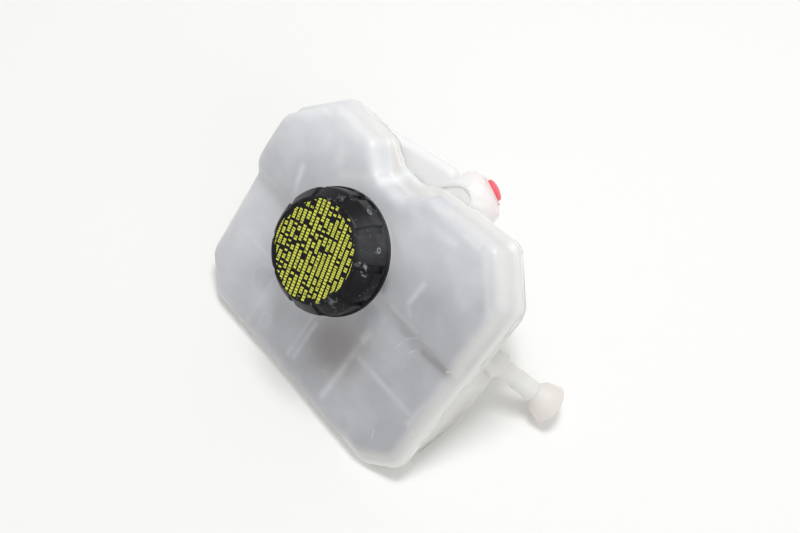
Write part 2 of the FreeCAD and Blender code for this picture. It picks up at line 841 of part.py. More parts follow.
def sensor_terminal(side):
    return laid_in_pocket(terminal_blade(side))


# Square-section rubber ring that fills its groove
def sensor_seal():
    low = probe_length - seal_groove_place - seal_groove_width
    ring = cylinder(pocket_bore, low, low + seal_groove_width)
    return laid_in_pocket(ring.cut(cylinder(probe_radius - seal_groove_depth, low, low + seal_groove_width)))


# Glass capsule with domed ends
def reed_capsule():
    body = cylinder(reed_radius, reed_start, reed_start + reed_length, 0, -reed_offset)
    ends = [edge for edge in body.Edges if edge.Closed]
    return laid_in_pocket(body.makeChamfer(0.5 * reed_radius, ends))


# Flat tinned wire: straight strips of a square section between corner points, mitred by overlap
def wire_run(points):
    half = lead_width / 2
    runs = []
    for start, end in zip(points, points[1:]):
        low_y, high_y = sorted([start.y, end.y])
        low_z, high_z = sorted([start.z, end.z])
        runs.append(block(-half, half, low_y - half, high_y + half, low_z, high_z)
                    if high_z - low_z > lead_width else
                    block(-half, half, low_y - half, high_y + half, low_z - half, high_z + half))
    return runs[0].fuse(runs[1:]).removeSplitter()


# The near lead runs straight to its terminal; the far one folds back beside the capsule
def reed_lead(side):
    foot = probe_length + terminal_tail / 2
    if side < 0:
        points = [Vec(0, -reed_offset, reed_start + reed_length), Vec(0, -reed_offset, foot)]
    else:
        turn = reed_start - lead_return
        points = [Vec(0, -reed_offset, reed_start), Vec(0, -reed_offset, turn),
                  Vec(0, lead_offset, turn), Vec(0, lead_offset, foot)]
    return laid_in_pocket(wire_run(points))


# Every piece by its node name
pieces = {
    "upper_shell": upper_shell(),
    "lower_shell": lower_shell(),
    "filler_cap": filler_cap(),
    "cap_seal": cap_seal(),
    "seal_retainer": seal_retainer(),
    "strainer_basket": strainer_basket(),
    "strainer_mesh": strainer_mesh(),
    "level_float": level_float(),
    "float_magnet": float_magnet(),
    "port_plug": port_plug(),
    "sensor_body": sensor_body(),
    "sensor_seal": sensor_seal(),
    "reed_capsule": reed_capsule(),
}
for number, side in enumerate((-1, 1), start=1):
    pieces["reed_lead_%d" % number] = reed_lead(side)
    pieces["sensor_terminal_%d" % number] = sensor_terminal(side)

os.makedirs("parts", exist_ok=True)
for name, shape in pieces.items():
    moved = shape.copy()
    moved.translate(origin.negative())
    moved.exportStep(os.path.join("parts", name + ".step"))
    box = moved.BoundBox
    print(name, "solids", len(moved.Solids), "valid", moved.isValid(), "volume", round(moved.Volume, 1),
          "box", [round(v, 1) for v in (box.XMin, box.YMin, box.ZMin, box.XMax, box.YMax, box.ZMax)])
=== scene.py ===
import json
import math
import bmesh
import bpy
import numpy as np
from mathutils import Matrix, Vector
from mathutils.bvhtree import BVHTree


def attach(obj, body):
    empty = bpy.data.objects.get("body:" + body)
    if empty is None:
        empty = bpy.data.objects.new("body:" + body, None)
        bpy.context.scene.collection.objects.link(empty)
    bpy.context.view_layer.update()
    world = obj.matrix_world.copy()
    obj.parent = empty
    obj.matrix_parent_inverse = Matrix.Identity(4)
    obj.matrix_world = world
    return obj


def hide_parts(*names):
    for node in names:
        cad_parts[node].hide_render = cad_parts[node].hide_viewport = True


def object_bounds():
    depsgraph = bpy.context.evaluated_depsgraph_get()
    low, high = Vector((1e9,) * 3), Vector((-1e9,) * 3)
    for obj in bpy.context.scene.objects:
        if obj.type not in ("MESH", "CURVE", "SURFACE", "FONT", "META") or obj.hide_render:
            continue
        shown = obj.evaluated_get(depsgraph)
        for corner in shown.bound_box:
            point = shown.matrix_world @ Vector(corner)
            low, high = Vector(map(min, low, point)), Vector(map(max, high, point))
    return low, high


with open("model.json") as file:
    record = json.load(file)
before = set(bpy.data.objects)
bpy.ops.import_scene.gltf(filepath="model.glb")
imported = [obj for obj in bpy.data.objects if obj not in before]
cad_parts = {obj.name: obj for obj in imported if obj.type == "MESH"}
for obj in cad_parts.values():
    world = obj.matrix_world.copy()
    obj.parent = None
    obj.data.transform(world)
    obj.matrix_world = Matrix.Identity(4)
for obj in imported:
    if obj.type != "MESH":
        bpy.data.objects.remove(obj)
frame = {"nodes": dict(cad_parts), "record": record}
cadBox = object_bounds()
mm = 0.001
print("frame loaded:", len(frame["nodes"]), "nodes")

# The reservoir keeps the CAD frame: +Z is the cap's way up, -Z the spigots' way. In the photograph
# it lies over on a table, so here the table leans and the part stays where it is. Places on the
# tank are given in tank millimetres, from the cap's axis at the weld seam.
reservoir = dict(
    capAxis=(-28 * mm, 0.0),        # the cap's axis in plan
    seamHeight=37 * mm,             # the weld seam between the shells
)
capX, capY = reservoir["capAxis"]
seamZ = reservoir["seamHeight"]


def onTank(points):
    # tank millimetres to the frame's metres
    return np.asarray(points, float) * mm + (capX, capY, seamZ)


def smoothStep(value, low, high):
    # 0 at low, 1 at high and an S-shaped rise between; low may be the higher number
    t = np.clip((value - low) / (high - low), 0, 1)
    return t * t * (3 - 2 * t)


def nodeMesh(name):
    # a CAD node's mesh with its doubled corners merged, as a bmesh
    body = bmesh.new()
    body.from_mesh(frame["nodes"][name].data)
    bmesh.ops.remove_doubles(body, verts=body.verts, dist=1e-6)
    return body


def nodePoints(name):
    # all corners of a CAD node as an array of rows
    mesh = frame["nodes"][name].data
    points = np.empty(len(mesh.vertices) * 3)
    mesh.vertices.foreach_get("co", points)
    return points.reshape(-1, 3)


def addObject(name, mesh, material):
    piece = bpy.data.objects.new(name, mesh)
    bpy.context.scene.collection.objects.link(piece)
    mesh.materials.append(material)
    return piece


def meshFrom(name, points, quads):
    # points is an array of rows, quads an array of four corners a face
    mesh = bpy.data.meshes.new(name)
    mesh.vertices.add(len(points))
    mesh.vertices.foreach_set("co", np.ascontiguousarray(points, dtype=np.float32).ravel())
    mesh.loops.add(quads.size)
    mesh.loops.foreach_set("vertex_index", np.ascontiguousarray(quads, dtype=np.int32).ravel())
    mesh.polygons.add(len(quads))
    mesh.polygons.foreach_set("loop_start", np.arange(0, quads.size, 4, dtype=np.int32))
    mesh.polygons.foreach_set("use_smooth", np.ones(len(quads), bool))
    mesh.update(calc_edges=True)
    mesh.validate()
    return mesh


def gridQuads(rows, columns, wrapRows, wrapColumns):
    # the faces between neighbours of a rows by columns grid, joined round where it wraps
    i = np.arange(rows if wrapRows else rows - 1)[:, None]
    j = np.arange(columns if wrapColumns else columns - 1)[None, :]
    nextI, nextJ = (i + 1) % rows, (j + 1) % columns
    corners = [i * columns + j, nextI * columns + j, nextI * columns + nextJ, i * columns + nextJ]
    return np.stack(np.broadcast_arrays(*corners), -1).reshape(-1, 4)


def outward(mesh):
    # merges doubles, drops empty faces and turns every face outwards
    body = bmesh.new()
    body.from_mesh(mesh)
    bmesh.ops.remove_doubles(body, verts=body.verts, dist=2e-7)
    bmesh.ops.dissolve_degenerate(body, edges=body.edges, dist=1e-7)
    bmesh.ops.recalc_face_normals(body, faces=body.faces)
    body.to_mesh(mesh)
    body.free()
    return mesh


def roundedProfile(corners, steps=6):
    # an open outline of (radius, height, rounding) corners: each corner between the ends becomes
    # a quadratic arc from a point before it to a point after it, as far off as the rounding says
    xy = np.array([c[:2] for c in corners], float)
    reach = np.array([c[2] for c in corners], float)[1:-1, None]
    middle = xy[1:-1]
    toBefore = xy[:-2] - middle
    toAfter = xy[2:] - middle
    toBefore /= np.linalg.norm(toBefore, axis=1)[:, None]
    toAfter /= np.linalg.norm(toAfter, axis=1)[:, None]
    start, end = middle + toBefore * reach, middle + toAfter * reach
    t = np.linspace(0, 1, steps)[None, :, None]
    arc = (1 - t) ** 2 * start[:, None] + 2 * t * (1 - t) * middle[:, None] + t ** 2 * end[:, None]
    return np.concatenate([xy[:1], arc.reshape(-1, 2), xy[-1:]])


def divided(outline, longest):
    # puts points on the long sides of an open outline, so that no side is over the given length
    parts = []
    for here, after in zip(outline[:-1], outline[1:]):
        pieces = max(1, int(np.ceil(np.linalg.norm(after - here) / longest)))
        parts.append(here + (after - here) * (np.arange(pieces) / pieces)[:, None])
    return np.concatenate(parts + [outline[-1:]])


def ringGrid(outline, angles):
    # a (radius, height) outline turned round an upright axis through zero
    r, z = outline[None, :, 0], outline[None, :, 1]
    a = angles[:, None]
    return np.stack([r * np.cos(a), r * np.sin(a), z + 0 * a], -1)


def framesAlong(path):
    # unit side and up rows along a path; the side is level
    tangent = np.gradient(path, axis=0)
    tangent /= np.linalg.norm(tangent, axis=1)[:, None]
    side = np.cross(tangent, (0.0, 0.0, 1.0))
    side /= np.linalg.norm(side, axis=1)[:, None]
    return side, np.cross(side, tangent)


def sweptPiece(name, path, section, material, closed=False):
    # a (side, up) section carried along a path; the section may have its own size at each row
    if closed:
        looped = np.concatenate([path[-2:], path, path[:2]])
        side, up = (rows[2:-2] for rows in framesAlong(looped))
    else:
        side, up = framesAlong(path)
    points = path[:, None] + side[:, None] * section[..., :1] + up[:, None] * section[..., 1:]
    rows, columns = points.shape[:2]
    mesh = meshFrom(name, points.reshape(-1, 3), gridQuads(rows, columns, closed, True))
    if not closed:
        body = bmesh.new()
        body.from_mesh(mesh)
        body.verts.ensure_lookup_table()
        for row in (0, rows - 1):
            body.faces.new([body.verts[row * columns + k] for k in range(columns)])
        body.to_mesh(mesh)
        body.free()
    return addObject(name, outward(mesh), material)


class Wire:
    # one socket of a material; arithmetic on it adds Math nodes
    def __init__(self, paint, socket):
        self.paint, self.socket = paint, socket

    def maths(self, operation, *others):
        values = dict(enumerate((self,) + others))
        return self.paint.node("ShaderNodeMath", {"operation": operation}, values)

    def __add__(self, other):
        return self.maths("ADD", other)

    def __mul__(self, other):
        return self.maths("MULTIPLY", other)

    def __sub__(self, other):
        return self.maths("SUBTRACT", other)

    def __rsub__(self, other):
        return self.paint.node("ShaderNodeMath", {"operation": "SUBTRACT"}, {0: other, 1: self})

    def __truediv__(self, other):
        return self.maths("DIVIDE", other)

    def __gt__(self, other):
        return self.maths("GREATER_THAN", other)

    def __lt__(self, other):
        return self.maths("LESS_THAN", other)

    def __abs__(self):
        return self.maths("ABSOLUTE")

    def most(self, other):
        return self.maths("MAXIMUM", other)

    def least(self, other):
        return self.maths("MINIMUM", other)

    __radd__ = __add__
    __rmul__ = __mul__


class Paint:
    # a material with one method that makes any node, and short names for the common ones; x, y and
    # z are the shaded point in tank millimetres
    def __init__(self, name, **surface):
        self.material = bpy.data.materials.new(name)
        self.material.use_nodes = True
        self.tree = self.material.node_tree
        self.tree.nodes.clear()
        self.surface = self.tree.nodes.new("ShaderNodeBsdfPrincipled")
        output = self.tree.nodes.new("ShaderNodeOutputMaterial")
        self.tree.links.new(self.surface.outputs[0], output.inputs["Surface"])
        for socket, value in surface.items():
            self.put(socket.replace("_", " "), value)
        self.place = self.node("ShaderNodeTexCoord", {}, {}, "Object")
        apart = self.tree.nodes.new("ShaderNodeSeparateXYZ")
        self.tree.links.new(self.place.socket, apart.inputs[0])
        x, y, z = (Wire(self, s) for s in apart.outputs)
        self.x, self.y, self.z = (x - capX) / mm, (y - capY) / mm, (z - seamZ) / mm

    def node(self, kind, settings, inputs, output=0):
        made = self.tree.nodes.new(kind)
        for key, value in settings.items():
            setattr(made, key, value)
        for key, value in inputs.items():
            self.feed(made.inputs[key], value)
        return Wire(self, made.outputs[output])

    def feed(self, socket, value):
        if isinstance(value, Wire):
            self.tree.links.new(value.socket, socket)
        elif isinstance(value, tuple) and len(value) == 3 and socket.type == "RGBA":
            socket.default_value = value + (1.0,)
        else:
            socket.default_value = value

    def put(self, socket, value):
        self.feed(self.surface.inputs[socket], value)

    def noise(self, scale, detail=3.0, roughness=0.5, stretch=None):
        place = self.place
        if stretch:
            place = self.node("ShaderNodeMapping", {}, {"Vector": place, "Scale": stretch})
        values = {"Vector": place, "Scale": scale, "Detail": detail, "Roughness": roughness}
        return self.node("ShaderNodeTexNoise", {}, values)

    def step(self, value, low, high):
        # 0 at low, 1 at high and smooth between; low may be the higher number
        return self.node("ShaderNodeMapRange", {"interpolation_type": "SMOOTHSTEP"},
                         {"Value": value, "From Min": low, "From Max": high})

    def part(self, value, low, high, amount):
        # a step from 0 at low to the amount at high
        return self.step(value, low, high) * amount

    def mixed(self, share, first, second):
        # the Mix node has its colours on sockets 6 and 7 and its colour result on output 2
        return self.node("ShaderNodeMix", {"data_type": "RGBA"}, {0: share, 6: first, 7: second}, 2)

    def bump(self, height, distance, strength):
        values = {"Strength": strength, "Distance": distance, "Height": height}
        self.put("Normal", self.node("ShaderNodeBump", {}, values))

    def near(self, a, b):
        # distance in mm of the shaded point, seen from above, from a straight line from a to b
        run = np.subtract(b, a)
        length = float(np.hypot(*run))
        along, across = float(run[0] / length), float(run[1] / length)
        dx, dy = self.x - float(a[0]), self.y - float(a[1])
        past = (abs(dx * along + dy * across - length / 2) - length / 2).most(0.0)
        off = dy * along - dx * across
        return (past * past + off * off).maths("SQRT")

    def far(self, cx, cy):
        # distance in mm of the shaded point, seen from above, from one plan point
        dx, dy = self.x - cx, self.y - cy
        return (dx * dx + dy * dy).maths("SQRT")

    def away(self, cx, cy, cz):
        # distance in mm of the shaded point from one point in space
        flat, dz = self.far(cx, cy), self.z - cz
        return (flat * flat + dz * dz).maths("SQRT")

    def lines(self, strokes, soft=1.0):
        # brightest of several strokes (a, b, half width in mm, strength)
        total = None
        for a, b, half, strength in strokes:
            stroke = self.step(self.near(a, b), half * soft, -0.4 * half) * strength
            total = stroke if total is None else total.most(stroke)
        return total


# What shows through the milky deck, in tank mm: ribs, inner edges and the marks of the mould, the
# ribs and edges painted lighter with the light that comes through them, with painted highlights and
# glow as further strokes and patches of painted light and shade. A stroke is (from, to, half width,
# strength), a ring (middle, radius, half width, strength) and a patch (middle, reach, how much paler)
deckMarks = dict(
    ribs=[((27.2, -23.5), (27.0, -58), 1.9, 0.55), ((27.2, -25.5), (27.8, -21.8), 2.2, 1.3),
          ((0.6, -36), (1.6, -57), 1.2, 0.45), ((4.2, -37), (4.8, -56), 1.2, 0.50),
          ((-26.0, -35), (-25.2, -60), 1.4, 0.28), ((30, -32.5), (66, -32.5), 1.5, 0.42),
          ((-57, -32.5), (-36, -32.5), 1.3, 0.25), ((31, -3.2), (46, -3.2), 1.6, 0.40),
          ((-68, -4.0), (-41, -4.0), 1.6, 0.38), ((36.8, 14), (36.4, 4), 1.5, 0.75),
          ((36.4, 4), (40.2, 0.5), 1.2, 0.35), ((-42.4, 12), (-40.6, 6), 1.6, 0.80),
          ((-40.6, 6), (-39.0, 2), 1.5, 0.55), ((66.8, -12), (66.0, -36), 1.6, 0.40)],
    # painted highlights and glow at the recess and the edges
    highlights=[((-21, 40.5), (-12, 34.0), 2.6, 0.75), ((-7.5, 33.0), (-4.0, 39.5), 2.4, 1.0),
          ((-4.0, 39.5), (12, 41.0), 2.0, 0.55), ((-50, 37.2), (-24, 38.4), 1.5, 0.40),
          ((17, 40.5), (46, 42.0), 1.5, 0.42), ((50, 42), (67, 25.5), 1.8, 0.35),
          ((-30.5, 29.5), (-29.5, 26.5), 3.0, 0.40), ((22, 34), (21, 31), 3.2, 0.30),
          ((14, 33), (37, 36), 1.6, 0.34), ((-14, 29), (-24, 22), 2.6, 0.30),
          ((40, 30), (56, 20), 2.4, 0.26), ((8, 28), (18, 20), 2.4, 0.22)],
    scratches=[((40.8, -18.5), (42.2, -11), 0.45, 0.55), ((42.2, -11), (47.8, -4.6), 0.45, 0.60),
               ((47.8, -4.6), (55.5, -2.5), 0.40, 0.40), ((47.5, -13.5), (49.5, -10.0), 0.6, 0.65),
               ((66.6, -6.2), (69.2, -4.4), 0.9, 0.90), ((-13.0, 22.5), (-19.0, 24.0), 0.35, 0.3),
               ((31, 24), (33.5, 25.5), 0.35, 0.35), ((56, -50), (57.5, -53), 0.7, 0.40),
               ((-33, 16), (-36, 12), 0.4, 0.25), ((14, -52), (22, -49), 0.35, 0.25)],
    rings=[((-17.6, -54.2), 3.0, 0.8, 0.18), ((-29.5, -41.5), 7.0, 1.5, 0.13),
           ((47.2, -11.3), 3.0, 0.7, 0.10)],
    patches=[((-14.0, -46.0), 22.0, 0.24), ((25.0, 27.0), 22.0, 0.20), ((63.0, -52.0), 20.0, -0.14),
             ((-54.0, -28.0), 26.0, 0.22), ((2.0, -50.0), 12.0, 0.14), ((41.0, -19.0), 12.0, 0.16),
             ((-27.0, 42.0), 16.0, 0.16), ((43.0, 9.0), 9.0, -0.10), ((60.0, -31.0), 10.0, 0.10)],
)
tankPaint = dict(
    deep=(0.425, 0.430, 0.455),         # painted shade over the dark inside
    pale=(0.79, 0.80, 0.83),            # painted light where it comes through
    edge=(0.83, 0.815, 0.775),          # flange and outer edges, paler with the painted light that comes through them
    capShadowColour=(0.215, 0.18, 0.155),      # painted shadow of the cap, and shade of the inside beside it
    rampShadeColour=(0.24, 0.19, 0.18),        # painted shade at the foot of the ramp between the decks
    ribLight=(0.82, 0.83, 0.86), highlightColour=(0.95, 0.96, 0.97), wornLight=(0.90, 0.91, 0.92),
    ribShare=0.75, highlightShare=0.95, wornShare=0.85, ribSoft=1.7, highlightSoft=2.0,
    roughness=0.34,
    # painted light: the deck grows pale (from, to, by how much) towards +Y, towards -X and round the
    # cap, where it lifts the shade
    paleNorth=(0.0, 44.0, 0.66), paleWest=(-16.0, -60.0, 0.35), paleByCap=(46.0, 26.0, 0.30),
    paleAll=0.04,
    clouds=((24.0, 2.0, 0.5, 0.50), (85.0, 3.0, 0.6, 0.46)),        # scale, detail, roughness, amount
    # painted shadow of the cap on the deck
    shadeAt=(19.0, -36.0), shadeReach=(21.0, 5.0, 0.50), shadeEast=(-2.0, 8.0),
    # painted shade at the foot of the ramp
    rampFoot=((53.0, -8.6), (66.5, -6.4)), rampReach=(3.2, 0.4, 0.40),
    # painted shade in a dimple
    dimpleAt=(62.2, 25.0), dimpleReach=(4.2, 1.0, 0.35),
    # the pale border of painted light through the thin edges: inwards from the outline, down to the
    # flange, and where it thins
    rimReach=(9.0, 2.5, 0.55), flangeReach=(5.2, 1.2, 0.85),
    thinWest=(-30.0, -50.0), thinSouth=(-44.0, -56.0), thinSouthEnd=(52.0, 36.0), thinBy=0.72,
    neckReach=(24.0, 21.5, 0.6), neckAbove=(11.0, 14.0),
)


def tankTop():
    # grey with painted shade over the dark inside and paler with painted light where it comes through,
    # with the cap's painted shadow, painted shade at the ramp's foot and a dimple, and soft strokes for
    # the ribs, edges and marks that show through, lighter with the light through them, and for painted
    # highlights
    t, marks = tankPaint, deckMarks
    p = Paint("tankTop", Subsurface_Weight=0.35, Subsurface_Radius=(1.0, 1.0, 1.0),
              Subsurface_Scale=0.0035, IOR=1.49)
    fromCap = p.far(0.0, 0.0)
    # painted light and shade: paler where light comes through the deck, darker over the dark inside
    share = p.part(p.y, *t["paleNorth"]) + p.part(p.x, *t["paleWest"])
    share = share + p.part(fromCap, *t["paleByCap"])
    for scale, detail, roughness, amount in t["clouds"]:
        share = share + (p.noise(scale, detail, roughness) - 0.5) * amount
    # patches of painted light and shade, paler or darker
    for centre, reach, amount in marks["patches"]:
        share = share + p.part(p.far(*centre), reach, reach * 0.2, amount)
    colour = p.mixed((share + t["paleAll"]).most(0.0).least(1.0), t["deep"], t["pale"])
    # painted shadow of the cap, on its +X and -Y side
    shade = p.part(p.far(*t["shadeAt"]), *t["shadeReach"]) * p.step(p.x, *t["shadeEast"])
    colour = p.mixed(shade, colour, t["capShadowColour"])
    # painted shade along the foot of the ramp
    colour = p.mixed(p.part(p.near(*t["rampFoot"]), *t["rampReach"]), colour, t["rampShadeColour"])
    # painted shade in the dimple towards +X and +Y
    colour = p.mixed(p.part(p.far(*t["dimpleAt"]), *t["dimpleReach"]), colour, t["deep"])
    inwards = p.node("ShaderNodeAttribute", {"attribute_name": "fromEdge"}, {}, "Fac")
    # painted light along the border, less of it where the border thins to the west and south
    thinSouth = p.step(p.y, *t["thinSouth"]) * p.step(p.x, *t["thinSouthEnd"])
    thin = p.step(p.x, *t["thinWest"]).most(thinSouth)
    border = p.part(inwards, *t["rimReach"]).most(p.part(p.z, *t["flangeReach"]))
    colour = p.mixed(border * (1.0 - thin * t["thinBy"]), colour, t["edge"])
    broken = p.part(p.noise(62.0, 2.0), 0.30, 0.62, 0.7) + 0.3
    # the ribs painted lighter with the light that comes through them
    ribs = p.lines(marks["ribs"], t["ribSoft"]) * broken
    # painted highlights and glow at the recess and the edges
    highlights = p.lines(marks["highlights"], t["highlightSoft"]) * broken
    worn = p.lines(marks["scratches"]) * p.step(p.noise(300.0, 3.0), 0.35, 0.55)
    for centre, radius, half, strength in marks["rings"]:
        ribs = ribs.most(p.part(abs(p.far(*centre) - radius), half, -0.3, strength))
    colour = p.mixed(ribs * t["ribShare"], colour, t["ribLight"])
    colour = p.mixed(highlights * t["highlightShare"], colour, t["highlightColour"])
    colour = p.mixed(worn * t["wornShare"], colour, t["wornLight"])
    neck = p.part(fromCap, *t["neckReach"]) * p.step(p.z, *t["neckAbove"])
    p.put("Base Color", p.mixed(neck, colour, t["edge"]))
    p.put("Roughness", p.noise(150.0, 4.0) * 0.18 + worn * 0.15 + (t["roughness"] - 0.09))
    fine = p.noise(900.0, 3.0) * 0.3 + p.noise(55.0, 2.0) * 2.2 + ribs * 0.5 + worn * 0.6
    p.bump(fine, 0.10 * mm, 0.5)
    return p.material


lowerPaint = dict(
    creamDark=(0.70, 0.69, 0.655), cream=(0.80, 0.795, 0.765),
    north=(0.91, 0.915, 0.905), northReach=(27.0, 41.0, 0.95),      # painted light on the wall under the recess
    # painted shade underneath, lower down and towards -Y
    under=(0.52, 0.51, 0.49), underDepth=(-8.0, -26.0, 0.35), underSouth=(10.0, -30.0),
    # painted glow of the red plug's light through its boss
    plugAt=(24.2, 53.0, -15.0), plugReach=(16.0, 5.0, 0.34), plugGlow=(0.92, 0.42, 0.42),
    bellAt=(90.2, -7.8, -51.0), bellReach=(13.0, 7.0, 0.5), bellPink=(0.84, 0.74, 0.70),
)


def tankBottom():
    # creamy plastic, painted near white with light under the recess and greyer with painted shade
    # underneath, with the red plug's painted glow in its boss and a pinkish bell
    t = lowerPaint
    p = Paint("tankBottom", Subsurface_Weight=0.35, Subsurface_Radius=(1.0, 0.95, 0.85),
              Subsurface_Scale=0.004, IOR=1.49)
    colour = p.mixed(p.step(p.noise(26.0, 3.0), 0.3, 0.72), t["creamDark"], t["cream"])
    # painted light: near white under the recess
    colour = p.mixed(p.part(p.y, *t["northReach"]), colour, t["north"])
    # painted shade underneath, lower down and towards -Y
    under = p.part(p.z, *t["underDepth"]) * p.step(p.y, *t["underSouth"])
    colour = p.mixed(under, colour, t["under"])
    # painted glow of the red plug's light through its boss
    colour = p.mixed(p.part(p.away(*t["plugAt"]), *t["plugReach"]), colour, t["plugGlow"])
    colour = p.mixed(p.part(p.away(*t["bellAt"]), *t["bellReach"]), colour, t["bellPink"])
    p.put("Base Color", colour)
    p.put("Roughness", p.noise(160.0, 4.0) * 0.16 + 0.32)
    p.bump(p.noise(800.0, 3.0) * 0.3 + p.noise(60.0, 2.0) * 1.6, 0.10 * mm, 0.5)
    return p.material


def weldFlash():
    p = Paint("weldFlash", Subsurface_Weight=0.3, Subsurface_Scale=0.002, IOR=1.49)
    cloud = p.step(p.noise(90.0, 3.0), 0.3, 0.7)
    p.put("Base Color", p.mixed(cloud, (0.82, 0.81, 0.78), (0.88, 0.87, 0.85)))
    p.put("Roughness", p.noise(200.0, 3.0) * 0.2 + 0.3)
    p.bump(p.noise(500.0, 4.0), 0.08 * mm, 0.6)
    return p.material


# The print is plain bars in slanting rows, broken and worn, with no letters in it
capPrint = dict(
    lean=16.0, pitch=2.35, barShare=0.64,           # degrees, mm, and how much of the pitch is bar
    cell=1.05, cellLeast=0.75, cellSpread=0.45,     # a bar's length, and how it differs by row
    rowShift=0.37, leftOut=0.16, gap=0.24,
    reach=21.4, ragged=2.6, above=35.55,
    yellow=(0.66, 0.69, 0.09),
)
capPaint = dict(
    # worn is the pale grey of scuffs, specks and ring marks, and also of the painted highlight and
    # sheen
    dark=(0.006, 0.006, 0.0075), worn=(0.42, 0.43, 0.46), gloss=0.13,
    rimFrom=(18.5, 22.5), wallRadius=26.4, wallFrom=24.0,
    ringMarks=((76.8, 27.7), (41.0, 28.2)), ringRadius=1.0,         # degrees round and height
    # a painted highlight along the top of the bevel
    bevelHighlight=((20.5, 10.5), (23.5, 7.5)), bevelHighlightReach=(1.3, 0.3, 0.60), bevelHighlightAbove=31.5,
    # a painted sheen: reflected light round the rim towards +X and +Y
    sheenAt=(17.0, 21.0), sheenReach=(15.0, 3.0, 0.16),
)


def capBars(p):
    # 1 on the bars: rows a pitch apart, each cut into cells of its own length, of which some are
    # left out and the others start after a gap; the rows end unevenly, and the print is worn
    c = capPrint
    cos, sin = math.cos(math.radians(c["lean"])), math.sin(math.radians(c["lean"]))
    across = (p.x * cos + p.y * sin) / c["pitch"]
    row = across.maths("FLOOR")
    rowChance = p.node("ShaderNodeTexWhiteNoise", {"noise_dimensions": "1D"}, {"W": row})
    along = (p.y * cos - p.x * sin) / c["cell"] * (rowChance * c["cellSpread"] + c["cellLeast"])
    along = along + row * c["rowShift"]
    cell = along.maths("FLOOR")
    spot = p.node("ShaderNodeCombineXYZ", {}, {0: row, 1: cell, 2: 4.0})
    chance = p.node("ShaderNodeTexWhiteNoise", {"noise_dimensions": "3D"}, {"Vector": spot})
    bars = (abs(across - row - 0.5) < c["barShare"] / 2) * (chance > c["leftOut"])
    bars = bars * (along - cell > c["gap"])
    onTop = (p.far(0.0, 0.0) + rowChance * c["ragged"] < c["reach"]) * (p.z > c["above"])
    return bars * onTop * p.step(p.noise(900.0, 4.0, 0.6), 0.35, 0.42)


def capBlack():
    # black with the print on top, scuffs and specks round the rim, two small ring marks of the mould on
    # the wall, a painted highlight on the bevel and a painted sheen round the rim towards +X and +Y
    c = capPaint
    p = Paint("capBlack", IOR=1.5, Specular_IOR_Level=c["gloss"])
    bars = capBars(p)
    fromCap = p.far(0.0, 0.0)
    rim = p.step(fromCap, *c["rimFrom"])
    scuff = p.step(p.noise(130.0, 5.0, 0.68), 0.585, 0.70) * rim
    speck = p.step(p.noise(800.0, 2.0, 0.6), 0.68, 0.74) * (rim * 0.7 + 0.2)
    roundWall = p.y.maths("ARCTAN2", p.x) * c["wallRadius"]
    marks = None
    for degrees, height in c["ringMarks"]:
        du, dz = roundWall - math.radians(degrees) * c["wallRadius"], p.z - height
        offRing = abs((du * du + dz * dz).maths("SQRT") - c["ringRadius"])
        ring = p.step(offRing, 0.42, 0.12) * (fromCap > c["wallFrom"])
        marks = ring if marks is None else marks.most(ring)
    # a painted highlight on the bevel, broken by noise
    bevelHighlight = p.part(p.near(*c["bevelHighlight"]), *c["bevelHighlightReach"]) * p.step(p.noise(420.0, 3.0), 0.40, 0.52)
    bevelHighlight = bevelHighlight * (p.z > c["bevelHighlightAbove"])
    # scuffs, specks and ring marks together with the painted highlight
    light = (scuff * 0.30 + speck * 0.45 + marks * 0.55 + bevelHighlight).least(0.8)
    # painted sheen of reflected light round the rim towards +X and +Y
    sheen = p.part(p.far(*c["sheenAt"]), *c["sheenReach"]) * rim * (p.noise(160.0, 3.0) * 0.8 + 0.2)
    plain = p.mixed((light + sheen).least(0.85), c["dark"], c["worn"])
    p.put("Base Color", p.mixed(bars, plain, capPrint["yellow"]))
    p.put("Roughness", p.noise(210.0, 4.0) * 0.22 + 0.20 + scuff * 0.25 + bars * 0.12)
    p.bump(p.noise(1500.0, 3.0) * 0.3 + bars * 0.5 + marks * 0.8 + p.noise(120.0, 2.0), 0.05 * mm, 0.5)
    return p.material


def plainPlastic(name, dark, light, rough, scale=60.0, grain=900.0):
    # one moulded plastic: a cloudy colour between two tones with a fine grain
    p = Paint(name)
    p.put("Base Color", p.mixed(p.step(p.noise(scale, 3.0), 0.3, 0.7), dark, light))
    p.put("Roughness", p.noise(scale * 3, 4.0) * 0.18 + (rough - 0.09))
    p.bump(p.noise(grain, 3.0), 0.04 * mm, 0.35)
    return p.material


meshWeave = dict(
    threadsRound=160.0, rowPitch=0.6,
    thread=(0.80, 0.82, 0.78), between=(0.42, 0.44, 0.42),
)


def meshCloth():
    # a sine round the sleeve times a sine up it gives the weave's threads
    m = meshWeave
    p = Paint("meshCloth", Roughness=0.6)
    upwards = (p.z * (2 * math.pi / m["rowPitch"])).maths("SINE")
    weave = (p.y.maths("ARCTAN2", p.x) * m["threadsRound"]).maths("SINE") * upwards
    p.put("Base Color", p.mixed(weave * 0.5 + 0.5, m["between"], m["thread"]))
    p.bump(weave, 0.1 * mm, 0.6)
    return p.material


def contactMetal():
    p = Paint("contactMetal", Metallic=1.0)
    streak = p.noise(300.0, 4.0, 0.5, (0.1, 1.0, 1.0))
    p.put("Base Color", p.mixed(p.step(streak, 0.3, 0.7), (0.55, 0.53, 0.48), (0.83, 0.80, 0.74)))
    p.put("Roughness", streak * 0.3 + 0.15)
    p.bump(streak, 0.02 * mm, 0.3)
    return p.material


